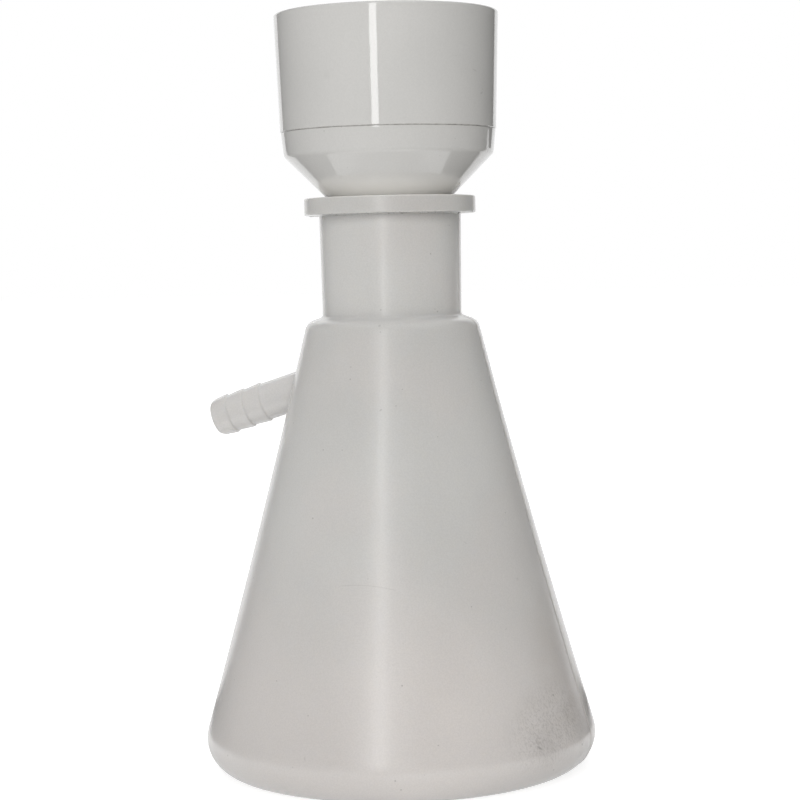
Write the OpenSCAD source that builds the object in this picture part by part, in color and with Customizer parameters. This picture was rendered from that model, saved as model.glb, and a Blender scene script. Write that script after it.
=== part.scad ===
// Vacuum filtration unit: a plastic filtering flask with a side arm, and a two-piece
// Buchner funnel whose stem passes through a rubber stopper in the flask's neck.
// Millimetres, +Z up. The origin is the centre of the foot, on the plane it stands on.
// The side arm points along -X, and the flask's parting line lies in the XZ plane.

/* [Flask] */
// Height from the foot to the top of the neck flange
flask_h = 156.6; // [120:0.1:200]
// Largest diameter, just above the base rounding
body_d = 107.2; // [80:0.2:140]
// Outer radius of the rounding between foot and wall
base_round = 9.2; // [4:0.1:14]
// How far the conical wall bows inwards half-way up
wall_bow = 0.6; // [0.2:0.1:2]
// Wall thickness
wall = 2.3; // [1.5:0.1:3.5]
// Width of the shoulder around the neck, before its edge is rounded
shoulder_w = 4.4; // [3:0.1:12]
// Fall of the shoulder from the neck's root to that edge
shoulder_fall = 1.5; // [0.5:0.1:6]
// Radius of the shoulder's edge
shoulder_round = 3.6; // [2.4:0.1:6]
// Inner diameter of the flat ring that the flask stands on
foot_inner_d = 82; // [50:1:88]
// Rise of the base inside that ring
push_up = 2.6; // [1:0.1:6]
// Width of the slope between the ring and the raised base
push_up_run = 5; // [3:0.5:10]
// Rounding where that slope meets the raised base
foot_round = 2.5; // [1:0.1:4]

/* [Neck] */
// Length of the neck with its flange
neck_h = 32.3; // [20:0.1:50]
// Outer diameter at the root of the neck
neck_d = 38; // [30:0.1:48]
// Growth of that diameter up to the flange
neck_flare = 0.7; // [-1:0.1:3]
// Fillet between neck and shoulder
neck_fillet = 1; // [0.4:0.1:2]
// Width of the flange around the neck
flange_w = 4.05; // [2:0.05:8]
// Thickness of the flange
flange_t = 4.6; // [2.5:0.1:8]
// Radius of the flange's edges
flange_round = 0.4; // [0.3:0.1:1.2]
// 45 degree chamfer inside the mouth, where the funnel's cone rests
mouth_chamfer = 0.5; // [0.5:0.1:1.5]

/* [Parting line] */
// Width, at the widest part of the flask, of the raised line that the mould leaves
seam_w = 0.7; // [0.4:0.1:1.5]
// Height of that line above the surface
seam_rise = 0.15; // [0.05:0.05:0.4]

/* [Side arm] */
// Height of the side arm's tip, at its centre
arm_tip_z = 96.2; // [85:0.1:110]
// Distance of the tip from the flask's axis
arm_tip_r = 51.9; // [45:0.1:60]
// Slope of the arm, falling outwards, in degrees
arm_slope = 17.5; // [0:0.5:30]
// Outer diameter of the plain arm
arm_d = 10.1; // [8:0.1:13]
// Diameter of the bore
arm_bore_d = 6.8; // [4:0.1:7.5]
// Number of barbs
barb_count = 3; // [1:1:4]
// Distance of the first barb's crest from the tip
barb_first = 4.3; // [3:0.1:6]
// Distance between crests
barb_pitch = 5.15; // [4:0.05:6]
// Rise of a crest above the arm
barb_rise = 0.36; // [0.2:0.02:0.8]
// Length of the flat land on a crest
barb_land = 0.6; // [0.3:0.1:1]
// Chamfer around the tip
tip_chamfer = 0.9; // [0.3:0.1:1.4]

/* [Funnel] */
// Outer diameter at the bottom of the bowl
bowl_low_d = 59; // [52:0.2:72]
// Growth of that diameter up to the rim
bowl_flare = 2.2; // [0.5:0.1:8]
// Step from the collar's side out to the bowl's
joint_step = 0.15; // [0:0.05:0.5]
// Growth of the collar's diameter from its bottom to its top
collar_flare = 1.4; // [0:0.1:4]
// Height of the collar
collar_h = 6.5; // [5:0.1:12]
// Rounding between collar and cone
collar_round = 1.8; // [0.5:0.1:3]
// Height of the bowl above the collar
bowl_h = 31.9; // [20:0.1:60]
// Wall of bowl and cone
funnel_wall = 1.8; // [1.4:0.1:2.2]
// Wall of the collar at its bottom
collar_wall = 1.5; // [1:0.1:2]
// Rounding of the rim
rim_round = 0.7; // [0.3:0.1:0.8]
// Chamfer on both edges of the joint between bowl and collar
joint_chamfer = 0.25; // [0.1:0.05:0.5]

/* [Filter plate] */
// Thickness of the perforated plate
plate_t = 2.2; // [1.5:0.1:4]
// Diameter of a drain hole
drain_d = 1.5; // [1:0.1:2.5]
// Distance between the rings of holes
drain_pitch = 4.6; // [3.6:0.1:6]
// Rings of holes around the middle one
drain_rings = 5; // [2:1:5]

/* [Spigot] */
// Wall of the bowl's ring inside the collar
spigot_wall = 1.5; // [1:0.1:2]
// Height, above the collar's bottom, of the ledge under the spigot
ledge_h = 0.3; // [0:0.1:1]

/* [Stem] */
// Outer diameter of the stem
stem_d = 12.6; // [10:0.1:14]
// Wall of the stem
stem_wall = 1.5; // [1:0.1:2]
// Distance from the mouth of the flask to the stem's lowest point
stem_reach = 57.5; // [40:0.5:80]
// Angle of the bevelled end from the horizontal, in degrees
stem_bevel = 45; // [0:5:60]

/* [Stopper] */
// Height of the stopper
stopper_h = 25; // [15:0.5:28]
// Loss of its diameter from top to bottom
stopper_taper = 4.1; // [1:0.1:8]
// Rounding of its edges
stopper_round = 0.8; // [0.3:0.1:1.5]

/* [Clearances] */
// Gap between the cone and the flask's mouth
seat_gap = 0.3; // [0.2:0.05:0.6]
// Radial gap between spigot and collar
spigot_gap = 0.3; // [0.2:0.05:0.5]
// Gap left under the spigot
spigot_end_gap = 0.4; // [0.3:0.1:1.5]
// Radial gap between the stopper's top and the neck
stopper_gap = 0.3; // [0.2:0.05:0.6]

/* [Joints] */
// Lift of the funnel out of the flask
funnel_lift = 0; // [0:0.5:75]
// Lift of the bowl off the collar
bowl_lift = 0; // [0:0.5:40]

/* [Hidden] */
$fa = 3;
$fs = 0.6;
// length of cutters past what they cut
over = 1;
// outlines run this far past the axis, and the half plane trims them
past_axis = -9;
foot_inner_r = foot_inner_d / 2;
body_r = body_d / 2;
neck_root_r = neck_d / 2;
neck_top_r = (neck_d + neck_flare) / 2;
flange_r = neck_top_r + flange_w;
neck_root_z = flask_h - neck_h;
// the conical wall is tangent to the base rounding and ends at the shoulder's edge
base_mid = [body_r - base_round, base_round];
shoulder_edge = [neck_root_r + shoulder_w, neck_root_z - shoulder_fall];
to_edge = shoulder_edge - base_mid;
tangent_a = atan2(to_edge.y, to_edge.x) - acos(base_round / norm(to_edge));
wall_foot = base_mid + base_round * [cos(tangent_a), sin(tangent_a)];
wall_lean = (wall_foot.x - shoulder_edge.x) / (shoulder_edge.y - wall_foot.y);
base_corner = [wall_foot.x + wall_lean * wall_foot.y, 0];
// the side arm's own frame has its tip at 0 and +Z pointing out of it
arm_r = arm_d / 2;
arm_length = (arm_tip_r - neck_root_r) / cos(arm_slope);
crest_r = arm_r + barb_rise;
// funnel levels, from the flask's mouth upwards
// the cone sits in the mouth's chamfer, so its radius at the flange follows the neck's bore
mouth_r = neck_bore_r(flask_h) + mouth_chamfer;
seat_r = mouth_r - seat_gap * sqrt(2);
bowl_low_r = bowl_low_d / 2;
rim_r = bowl_low_r + bowl_flare / 2;
collar_top_r = bowl_low_r - joint_step;
collar_low_r = collar_top_r - collar_flare / 2;
collar_z = flask_h + collar_low_r - seat_r;
joint_z = collar_z + collar_h;
rim_z = joint_z + bowl_h;
plate_z = joint_z + plate_t;
stem_r = stem_d / 2;
stem_bore_r = stem_r - stem_wall;
stem_top_z = flask_h - seat_r + stem_r;
stem_end_z = flask_h - stem_reach;
// the cone's inner face lies one wall inside its outer one, measured square to it
cone_shift = funnel_wall * sqrt(2);
collar_bore_r = collar_low_r - collar_wall;
spigot_r = collar_bore_r - spigot_gap;
ledge_z = collar_z + ledge_h;
spigot_z = ledge_z + spigot_end_gap;
stopper_top_z = stem_top_z;
stopper_low_z = stopper_top_z - stopper_h;
// the stopper clears the narrowest place above it too
stopper_top_r = min(neck_bore_r(stopper_top_z), neck_bore_r(flask_h)) - stopper_gap;
stopper_low_r = stopper_top_r - stopper_taper / 2;

function unit(v) = v / norm(v);
function left_of(v) = [-v.y, v.x];

// radius of the neck's bore at height z
function neck_bore_r(z) =
    neck_root_r - wall + (neck_top_r - neck_root_r) * (z - neck_root_z) / (neck_h - flange_t);

// corner i of a closed outline: its neighbours before and after it
function before(p, i) = p[(i + len(p) - 1) % len(p)];
function after(p, i) = p[(i + 1) % len(p)];

// length that a rounding of radius r takes from each side of the corner at b
function reach(a, b, c, r) = r * tan(acos(unit(b - a) * unit(c - b)) / 2);
function bend(a, b, c) = sign(cross(b - a, c - b));
function touch_in(a, b, c, r) = b - unit(b - a) * reach(a, b, c, r);
function touch_out(a, b, c, r) = b + unit(c - b) * reach(a, b, c, r);
function round_mid(a, b, c, r) = touch_in(a, b, c, r) + left_of(unit(b - a)) * r * bend(a, b, c);

// outline moved inwards by t, with each corner on its neighbours' moved sides
function moved(a, b, c, t) =
    let (n = left_of(unit(b - a)), m = left_of(unit(c - b)))
    b + (n + m) * t / (1 + n * m);
function inset(p, t) = [for (i = [0:len(p) - 1]) moved(before(p, i), p[i], after(p, i), t)];

// counter-clockwise outline with a true arc of radius r[i] at corner i
module rounded(p, r) {
    difference() {
        union() {
            polygon([for (i = [0:len(p) - 1]) each r[i] > 0
                ? [touch_in(before(p, i), p[i], after(p, i), r[i]),
                   touch_out(before(p, i), p[i], after(p, i), r[i])]
                : [p[i]]]);
            for (i = [0:len(p) - 1])
                if (r[i] > 0 && bend(before(p, i), p[i], after(p, i)) > 0)
                    translate(round_mid(before(p, i), p[i], after(p, i), r[i]))
                        circle(r = r[i]);
        }
        for (i = [0:len(p) - 1])
            if (r[i] > 0 && bend(before(p, i), p[i], after(p, i)) < 0)
                translate(round_mid(before(p, i), p[i], after(p, i), r[i]))
                    circle(r = r[i]);
    }
}

// solid of revolution of what lies right of the axis
module turned() {
    rotate_extrude()
        intersection() {
            children();
            translate([0, -over])
                square([body_d, rim_z + 2 * over]);
        }
}

// the flask's outline moved inwards by t and carried up to height top
module vessel(t, top) {
    rim = [neck_bore_r(top) + wall, top + t];
    p = inset([[past_axis, push_up], [foot_inner_r - push_up_run, push_up], [foot_inner_r, 0],
               base_corner, shoulder_edge, [neck_root_r, neck_root_z], rim,
               [past_axis, top + t]], t);
    r = [0, foot_round + t, 0, base_round - t, shoulder_round - t, neck_fillet + t, 0, 0];
    low = touch_out(p[2], p[3], p[4], r[3]);
    high = touch_in(p[3], p[4], p[5], r[4]);
    difference() {
        rounded(p, r);
        bow(low, high, wall_bow);
    }
}

// shallow hollow, sag deep at its middle, on the left of the line from a to b
module bow(a, b, sag) {
    steps = 8;
    n = left_of(unit(b - a));
    polygon([a - n, for (k = [0:steps]) let (f = k / steps) a + (b - a) * f + n * 4 * sag * f * (1 - f),
             b - n]);
}

module flange_outline(t) {
    low = flask_h - flange_t;
    rounded(inset([[past_axis, low], [flange_r, low], [flange_r, flask_h], [past_axis, flask_h]], t),
            [0, flange_round - t, flange_round - t, 0]);
}

// side arm in its own frame: each barb is a square step, a land and a taper to the next
module arm() {
    rotate_extrude()
        polygon([[0, -arm_length], [arm_r, -arm_length],
                 for (k = [barb_count - 1:-1:0]) each barb(-barb_first - k * barb_pitch),
                 [arm_r, -tip_chamfer], [arm_r - tip_chamfer / 2, 0], [0, 0]]);
}

// points of the barb whose land starts at z on the side of the tip
function barb(z) = [[arm_r, z - barb_land], [crest_r, z - barb_land], [crest_r, z]];

module arm_place() {
    translate([-arm_tip_r, 0, arm_tip_z])
        rotate([0, -90 - arm_slope, 0])
            children();
}

module flask() {
    color([0.86, 0.86, 0.84])
        difference() {
            union() {
                turned() vessel(0, flask_h);
                turned() flange_outline(0);
                seam();
                arm_place() arm();
            }
            turned() vessel(wall, flask_h + over);
            arm_place()
                translate([0, 0, -arm_length])
                    cylinder(d = arm_bore_d, h = arm_length + over);
            mouth();
        }
}

// raised parting line, a thin turned strip on each side, in the plane of the side arm
module seam() {
    angle = 2 * asin(seam_w / body_d);
    for (side = [0, 180])
        rotate(side - angle / 2)
            rotate_extrude(angle = angle)
                intersection() {
                    seam_section();
                    translate([0, base_round / 4])
                        square([body_d, flask_h - flange_round - base_round / 4]);
                }
}

module seam_section() {
    difference() {
        union() {
            vessel(-seam_rise, flask_h);
            flange_outline(-seam_rise);
        }
        vessel(wall / 2, flask_h + over);
        // none under the base
        square([foot_inner_r, push_up + wall]);
    }
}

// the neck's mouth, opened at 45 degrees for the funnel's cone
module mouth() {
    translate([0, 0, flask_h - mouth_r])
        cylinder(r1 = 0, r2 = mouth_r + over, h = mouth_r + over);
}

module neck_stopper() {
    color([0.80, 0.78, 0.73])
        translate([0, 0, funnel_lift])
            difference() {
                turned()
                    rounded([[past_axis, stopper_low_z], [stopper_low_r, stopper_low_z],
                             [stopper_top_r, stopper_top_z], [past_axis, stopper_top_z]],
                            [0, stopper_round, stopper_round, 0]);
                translate([0, 0, stopper_low_z - over])
                    cylinder(d = stem_d, h = stopper_h + 2 * over);
            }
}

module funnel_base() {
    color([0.90, 0.90, 0.89])
        translate([0, 0, funnel_lift])
            difference() {
                turned() base_outside();
                turned() base_inside();
                stem_cut();
            }
}

module base_outside() {
    rounded([[past_axis, stem_end_z], [stem_r, stem_end_z], [stem_r, stem_top_z],
             [collar_low_r, collar_z], [collar_top_r, joint_z - joint_chamfer],
             [collar_top_r - joint_chamfer, joint_z], [past_axis, joint_z]],
            [0, 0, 0, collar_round, 0, 0, 0]);
}

module base_inside() {
    cone_top = [ledge_z - collar_z + collar_low_r - cone_shift, ledge_z];
    bore_top_z = ledge_z - (cone_top.x - stem_bore_r);
    polygon([[past_axis, stem_end_z - over], [stem_bore_r, stem_end_z - over],
             [stem_bore_r, bore_top_z], cone_top, [collar_bore_r, ledge_z],
             [collar_bore_r, joint_z + over], [past_axis, joint_z + over]]);
}

// everything under the stem's bevel, whose long side faces away from the side arm
module stem_cut() {
    translate([stem_r, 0, stem_end_z])
        rotate([0, stem_bevel, 0])
            translate([-4 * stem_r, -2 * stem_r, -4 * stem_r])
                cube([6 * stem_r, 4 * stem_r, 4 * stem_r]);
}

module funnel_bowl() {
    color([0.90, 0.90, 0.89])
        translate([0, 0, funnel_lift + bowl_lift])
            difference() {
                turned() bowl_outside();
                turned() bowl_inside();
                translate([0, 0, spigot_z - over])
                    cylinder(r = spigot_r - spigot_wall, h = joint_z - spigot_z + over);
                drains();
            }
}

module bowl_outside() {
    rounded([[past_axis, spigot_z], [spigot_r, spigot_z], [spigot_r, joint_z],
             [bowl_low_r - joint_chamfer, joint_z], [bowl_low_r, joint_z + joint_chamfer],
             [rim_r, rim_z], [past_axis, rim_z]],
            [0, 0, 0, 0, 0, rim_round, 0]);
}

module bowl_inside() {
    rounded([[past_axis, plate_z], [bowl_low_r - funnel_wall, plate_z],
             [rim_r - funnel_wall, rim_z + over], [past_axis, rim_z + over]],
            [0, 1, 0, 0]);
}

module drains() {
    for (ring = [0:drain_rings])
        for (k = [0:max(6 * ring, 1) - 1])
            rotate(k * 60 / max(ring, 1))
                translate([ring * drain_pitch, 0, joint_z - over])
                    cylinder(d = drain_d, h = plate_t + 2 * over, $fn = 16);
}

flask();
neck_stopper();
funnel_base();
funnel_bowl();
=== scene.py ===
import math

import bmesh
import bpy
import numpy as np
from mathutils import Matrix, Vector


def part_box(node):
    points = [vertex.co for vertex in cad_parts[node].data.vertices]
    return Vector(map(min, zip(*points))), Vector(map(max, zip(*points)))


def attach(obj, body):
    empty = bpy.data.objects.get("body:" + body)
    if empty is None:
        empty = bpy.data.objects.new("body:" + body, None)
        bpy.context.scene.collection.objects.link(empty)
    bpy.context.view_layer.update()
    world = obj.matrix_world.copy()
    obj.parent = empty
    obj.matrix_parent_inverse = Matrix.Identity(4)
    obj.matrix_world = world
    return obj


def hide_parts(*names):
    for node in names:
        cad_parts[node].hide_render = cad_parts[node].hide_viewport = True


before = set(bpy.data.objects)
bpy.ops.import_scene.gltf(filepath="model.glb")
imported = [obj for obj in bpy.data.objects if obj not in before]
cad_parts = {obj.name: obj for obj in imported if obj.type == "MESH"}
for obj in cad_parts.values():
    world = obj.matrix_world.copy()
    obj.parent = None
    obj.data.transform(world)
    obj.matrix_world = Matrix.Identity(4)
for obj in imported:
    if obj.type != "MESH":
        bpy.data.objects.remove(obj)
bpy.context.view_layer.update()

# All shapes are worked out in millimetres and scaled on their way into a mesh.
MM = 0.001


def box_mm(node):
    low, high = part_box(node)
    return [c / MM for c in low], [c / MM for c in high]


# ---------------------------------------------------------------- outlines

def cross2(a, b):
    return a[0] * b[1] - a[1] * b[0]


def round_corners(points, radii, steps=5):
    """The open path through points, with an arc of the given radius at each inner corner."""
    path = [np.array(points[0], float)]
    for i in range(1, len(points) - 1):
        a, b, c = (np.array(p, float) for p in points[i - 1:i + 2])
        u, v = (b - a) / np.linalg.norm(b - a), (c - b) / np.linalg.norm(c - b)
        turn = math.acos(max(-1.0, min(1.0, float(u @ v))))
        if radii[i] <= 0 or turn < 1e-4:
            path.append(b)
            continue
        reach = radii[i] * math.tan(turn / 2)
        side = math.copysign(1.0, cross2(u, v))
        middle = b - u * reach + np.array([-u[1], u[0]]) * radii[i] * side
        start = b - u * reach - middle
        count = max(2, int(round(steps * turn / (math.pi / 2) + 1)))
        for k in range(count + 1):
            t = side * turn * k / count
            path.append(middle + np.array([start[0] * math.cos(t) - start[1] * math.sin(t),
                                           start[0] * math.sin(t) + start[1] * math.cos(t)]))
    path.append(np.array(points[-1], float))
    return path


def with_rows(path, step, hold=0.35):
    """More points on the long straights of a path: one near each end, which keeps the shading of a
    rounding from spreading into the flat beside it, and one every step between."""
    out = [path[0]]
    for a, b in zip(path[:-1], path[1:]):
        length = float(np.linalg.norm(b - a))
        if length < 1e-6:
            continue
        if length > 4 * hold:
            inner = max(1, int(math.ceil((length - 2 * hold) / step)))
            stops = [hold + (length - 2 * hold) * k / inner for k in range(inner + 1)]
            out += [a + (b - a) * s / length for s in stops]
        out.append(b)
    return out


def moved_in(points, t):
    """A closed counter-clockwise outline moved inwards by t."""
    n, out = len(points), []
    for i in range(n):
        a, b, c = (np.array(points[k % n], float) for k in (i - 1, i, i + 1))
        u, v = (b - a) / np.linalg.norm(b - a), (c - b) / np.linalg.norm(c - b)
        p, q = np.array([-u[1], u[0]]), np.array([-v[1], v[0]])
        out.append(b + (p + q) * t / (1 + float(p @ q)))
    return out


# ---------------------------------------------------------------- meshes

def new_piece(name, verts, faces, body, replaced, material):
    """An object from points in millimetres, closed, with every face turned outwards."""
    mesh = bpy.data.meshes.new(name)
    mesh.from_pydata([tuple(c * MM for c in v) for v in verts], [], faces)
    bm = bmesh.new()
    bm.from_mesh(mesh)
    bmesh.ops.delete(bm, geom=[v for v in bm.verts if not v.link_faces], context="VERTS")
    bmesh.ops.remove_doubles(bm, verts=bm.verts, dist=1e-7)
    bmesh.ops.recalc_face_normals(bm, faces=bm.faces)
    if bm.calc_volume(signed=True) < 0:
        bmesh.ops.reverse_faces(bm, faces=bm.faces)
    for f in bm.faces:
        f.smooth = True
    bm.to_mesh(mesh)
    bm.free()
    mesh.set_sharp_from_angle(angle=math.radians(40))
    obj = bpy.data.objects.new(name, mesh)
    bpy.context.scene.collection.objects.link(obj)
    mesh.materials.append(material)
    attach(obj, body)
    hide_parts(*replaced)
    return obj


class Skin:
    """Points and faces of one closed surface."""

    def __init__(self):
        self.verts, self.faces = [], []

    def add(self, p):
        self.verts.append(tuple(float(c) for c in p))
        return len(self.verts) - 1

    def quad(self, a, b, c, d):
        corners = []
        for k in (a, b, c, d):
            if k not in corners:
                corners.append(k)
        if len(corners) > 2:
            self.faces.append(corners)

    def band(self, low, high, closed=True):
        """Quads between two rows with as many points each."""
        n = len(low)
        for j in range(n if closed else n - 1):
            k = (j + 1) % n
            self.quad(low[j], low[k], high[k], high[j])


def turned(skin, path, angles, shape=None, closed=False):
    """Rows of a turned surface: the path goes round the Z axis at each angle. A point on the axis
    is a single vertex. shape(p) may move a point."""
    rows = []
    for r, z in path:
        if r < 1e-6:
            rows.append([skin.add((0, 0, z))] * len(angles))
            continue
        row = []
        for t in angles:
            p = (r * math.cos(t), r * math.sin(t), z)
            row.append(skin.add(shape(p) if shape else p))
        rows.append(row)
    for low, high in zip(rows[:-1], rows[1:]):
        skin.band(low, high)
    if closed:
        skin.band(rows[-1], rows[0])
    return rows


def even_angles(n):
    return [2 * math.pi * k / n for k in range(n)]


# ---------------------------------------------------------------- flask

_, FLASK_HIGH = box_mm("flask")
MOUTH_Z = FLASK_HIGH[2]
BODY_R = FLASK_HIGH[1]
WALL = 2.3
NECK_ROOT = (19.0, MOUTH_Z - 32.3)
NECK_TOP_R = 19.35
FLANGE_R, FLANGE_T = 23.4, 4.6
SHOULDER = (23.4, NECK_ROOT[1] - 1.5)
BASE_ROUND = 9.2
FOOT_R, PUSH_UP = 41.0, 2.6
BOW = 0.6
RIDGE = 0.15                      # rise of the parting line
RIDGE_STEPS = (0.0, 0.13, 0.35)   # distances from its middle
RIDGE_SHARE = (1.0, 0.86, 0.0)    # share of the rise there
RIDGE_CLEAR = 0.65                # where the plain surface starts
ARM_TIP = np.array([-51.9, 0.0, 96.2])
ARM_SLOPE = math.radians(17.5)
ARM_R, ARM_BORE_R = 5.05, 3.4
BARB_RISE, BARB_LAND, BARB_FIRST, BARB_PITCH = 0.36, 0.6, 4.3, 5.15
ROOT_FILLET = 1.1


def cone_corner():
    """Where the line of the conical wall meets the foot's plane."""
    middle = np.array([BODY_R - BASE_ROUND, BASE_ROUND])
    across = np.array(SHOULDER) - middle
    a = math.atan2(across[1], across[0]) - math.acos(BASE_ROUND / np.linalg.norm(across))
    foot = middle + BASE_ROUND * np.array([math.cos(a), math.sin(a)])
    lean = (foot[0] - SHOULDER[0]) / (SHOULDER[1] - foot[1])
    return (foot[0] + lean * foot[1], 0.0)


def bowed(path, low_z, high_z):
    """The conical stretch of a path, hollowed a little towards the axis at its middle."""
    out = []
    for r, z in path:
        f = (z - low_z) / (high_z - low_z)
        lift = 4 * BOW * f * (1 - f) if 0 < f < 1 else 0
        out.append(np.array([r - lift, z]))
    return out


# The vessel's outline. It crosses the axis, so that moving it in by the wall keeps its middle flat.
AXIS = -9.0
VESSEL = [(AXIS, PUSH_UP), (FOOT_R - 5, PUSH_UP), (FOOT_R, 0), cone_corner(), SHOULDER, NECK_ROOT,
          (NECK_TOP_R, MOUTH_Z - FLANGE_T), (AXIS, MOUTH_Z - FLANGE_T)]


def flask_paths():
    """Two open paths: the outside from under the base up to the flange's top edge, and the inside
    from the mouth down to the middle of the floor."""
    outer = [(0, PUSH_UP)] + VESSEL[1:7] + [
        (FLANGE_R, MOUTH_Z - FLANGE_T), (FLANGE_R, MOUTH_Z), (20.5, MOUTH_Z)]
    radii = [0, 2.5, 0.8, BASE_ROUND, 3.6, 1.0, 0.3, 0.4, 0.35, 0]
    inset = moved_in(VESSEL, WALL)
    neck_top = inset[6]
    lean = (neck_top[0] - inset[5][0]) / (neck_top[1] - inset[5][1])
    mouth_r = inset[5][0] + lean * (MOUTH_Z - inset[5][1])
    inner = [(20.5, MOUTH_Z), (mouth_r + 0.5, MOUTH_Z), (mouth_r, MOUTH_Z - 0.5), inset[5], inset[4],
             inset[3], inset[2], inset[1], (0, PUSH_UP + WALL)]
    inner_radii = [0, 0.12, 0.4, 3.3, 1.3, BASE_ROUND - WALL, 0.5, 4.8, 0]
    steps = [8 if r > 3 else 5 for r in radii]
    out = round_corners(outer, radii, max(steps) + 2)
    inn = round_corners(inner, inner_radii, 6)
    return out, inn


def cone_ends(path):
    """Heights of the two ends of the long conical stretch of a path."""
    best = max(range(len(path) - 1), key=lambda i: np.linalg.norm(path[i + 1] - path[i])
               if min(path[i][0], path[i + 1][0]) > 20 else 0)
    return sorted((path[best][1], path[best + 1][1]))


def flask_columns():
    """For each column its share of the parting line's rise and a function that gives its angle where
    the radius is r: columns near a parting line keep their distance from it. Also the column on the
    parting line that the side arm is on."""
    close = RIDGE_STEPS + (RIDGE_CLEAR,)
    first, count = math.radians(3.3), 87
    share = dict(zip(RIDGE_STEPS, RIDGE_SHARE))
    cols = []

    def near(side, y):
        def angle(r):
            return side + math.copysign(math.asin(min(abs(y) / max(r, 12.5), 0.9)), y) if y else side
        return angle

    def plain(angle):
        return lambda r: angle

    for y in close:
        cols.append((share.get(y, 0.0), near(0.0, y)))
    for k in range(count):
        cols.append((0.0, plain(first + (math.pi - 2 * first) * k / (count - 1))))
    for y in reversed(close):
        cols.append((share.get(y, 0.0), near(math.pi, -y)))
    middle = len(cols) - 1
    for y in close[1:]:
        cols.append((share.get(y, 0.0), near(math.pi, y)))
    for k in range(count):
        cols.append((0.0, plain(math.pi + first + (math.pi - 2 * first) * k / (count - 1))))
    for y in reversed(close[1:]):
        cols.append((share.get(y, 0.0), near(2 * math.pi, -y)))
    return cols, middle


def arm_point(s, phi, rho):
    """A point on the side arm: s inwards from its tip, phi round it from its top, rho from its axis."""
    c, d = math.cos(ARM_SLOPE), math.sin(ARM_SLOPE)
    along, up = np.array([c, 0, d]), np.array([-d, 0, c])
    return ARM_TIP + along * s + rho * (math.cos(phi) * up + math.sin(phi) * np.array([0, 1, 0]))


def arm_meets(radius_at, phi, rho):
    """How far from the tip that line along the arm meets a turned surface."""
    low, high = 8.0, 46.0
    for _ in range(40):
        s = (low + high) / 2
        p = arm_point(s, phi, rho)
        if math.hypot(p[0], p[1]) > radius_at(p[2]):
            low = s
        else:
            high = s
    return (low + high) / 2


def arm_path():
    """(distance from the tip, radius) from the edge of the bore round the tip and over the barbs."""
    crest = ARM_R + BARB_RISE
    pts, radii = [(1.2, ARM_BORE_R), (0, ARM_BORE_R), (0, ARM_R - 0.45), (0.9, ARM_R)], [0, 0.3, 0.4, 0.8]
    for k in range(3):
        s = BARB_FIRST + k * BARB_PITCH
        pts += [(s, crest), (s + BARB_LAND, crest), (s + BARB_LAND + 0.36, ARM_R)]
        radii += [0.8, 0.3, 0.34]
    pts.append((s + BARB_LAND + 1.0, ARM_R))
    return round_corners(pts, radii + [0], 4)


def patch(skin, rows, rows_path, middle, half, centre_z, height, radius_at, edge_radius, lift):
    """Opens a rectangular block of faces around the side arm's root and fills it with rings that
    run from the block's edge to a circle round the arm. Returns the block, the ring at the circle,
    its angles round the arm and the ridge's share at each."""
    zs = [p[1] for p in rows_path]
    inside = [k for k in range(len(zs)) if abs(zs[k] - centre_z) < height and rows_path[k][0] > 20]
    k0, k1 = min(inside), max(inside)
    top, bottom = (k1, k0) if zs[k1] > zs[k0] else (k0, k1)
    step = -1 if top > bottom else 1
    tour = [(top, middle - j) for j in range(half)]
    tour += [(k, middle - half) for k in range(top, bottom, step)]
    tour += [(bottom, middle - half + j) for j in range(2 * half)]
    tour += [(k, middle + half) for k in range(bottom, top, -step)]
    tour += [(top, middle + half - j) for j in range(half)]
    n = len(tour)
    specials = len(RIDGE_STEPS)
    offsets = RIDGE_STEPS + (RIDGE_CLEAR,)
    phis, shares = [0.0] * n, [0.0] * n
    opposite = n // 2
    edge = math.asin(offsets[-1] / ARM_R)
    for i in range(n):
        from_top, from_bottom = min(i, n - i), abs(i - opposite)
        if from_top <= specials:
            phi, share = math.asin(offsets[from_top] / ARM_R), from_top
        elif from_bottom <= specials:
            phi, share = math.pi - math.asin(offsets[from_bottom] / ARM_R), from_bottom
        else:
            f = (from_top - specials) / (opposite - 2 * specials)
            phi, share = edge + (math.pi - 2 * edge) * f, specials
        phis[i] = phi if i <= opposite else -phi
        shares[i] = RIDGE_SHARE[share] if share < specials else 0.0
    rings = [[rows[k][j] for k, j in tour]]
    steps = (0.2, 0.38, 0.54, 0.68, 0.8, 0.9, 1.0)
    for f in steps:
        ring = []
        for i, (k, j) in enumerate(tour):
            p = np.array(skin.verts[rows[k][j]])
            q = arm_point(arm_meets(radius_at, phis[i], edge_radius), phis[i], edge_radius)
            y, z = p[1] + (q[1] - p[1]) * f, p[2] + (q[2] - p[2]) * f
            r = radius_at(z) + lift * shares[i]
            ring.append(skin.add((-math.sqrt(max(r * r - y * y, 0.0)), y, z)))
        rings.append(ring)
    for a, b in zip(rings[:-1], rings[1:]):
        skin.band(a, b)
    return (min(top, bottom), max(top, bottom), middle - half, middle + half), rings[-1], phis, shares


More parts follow.
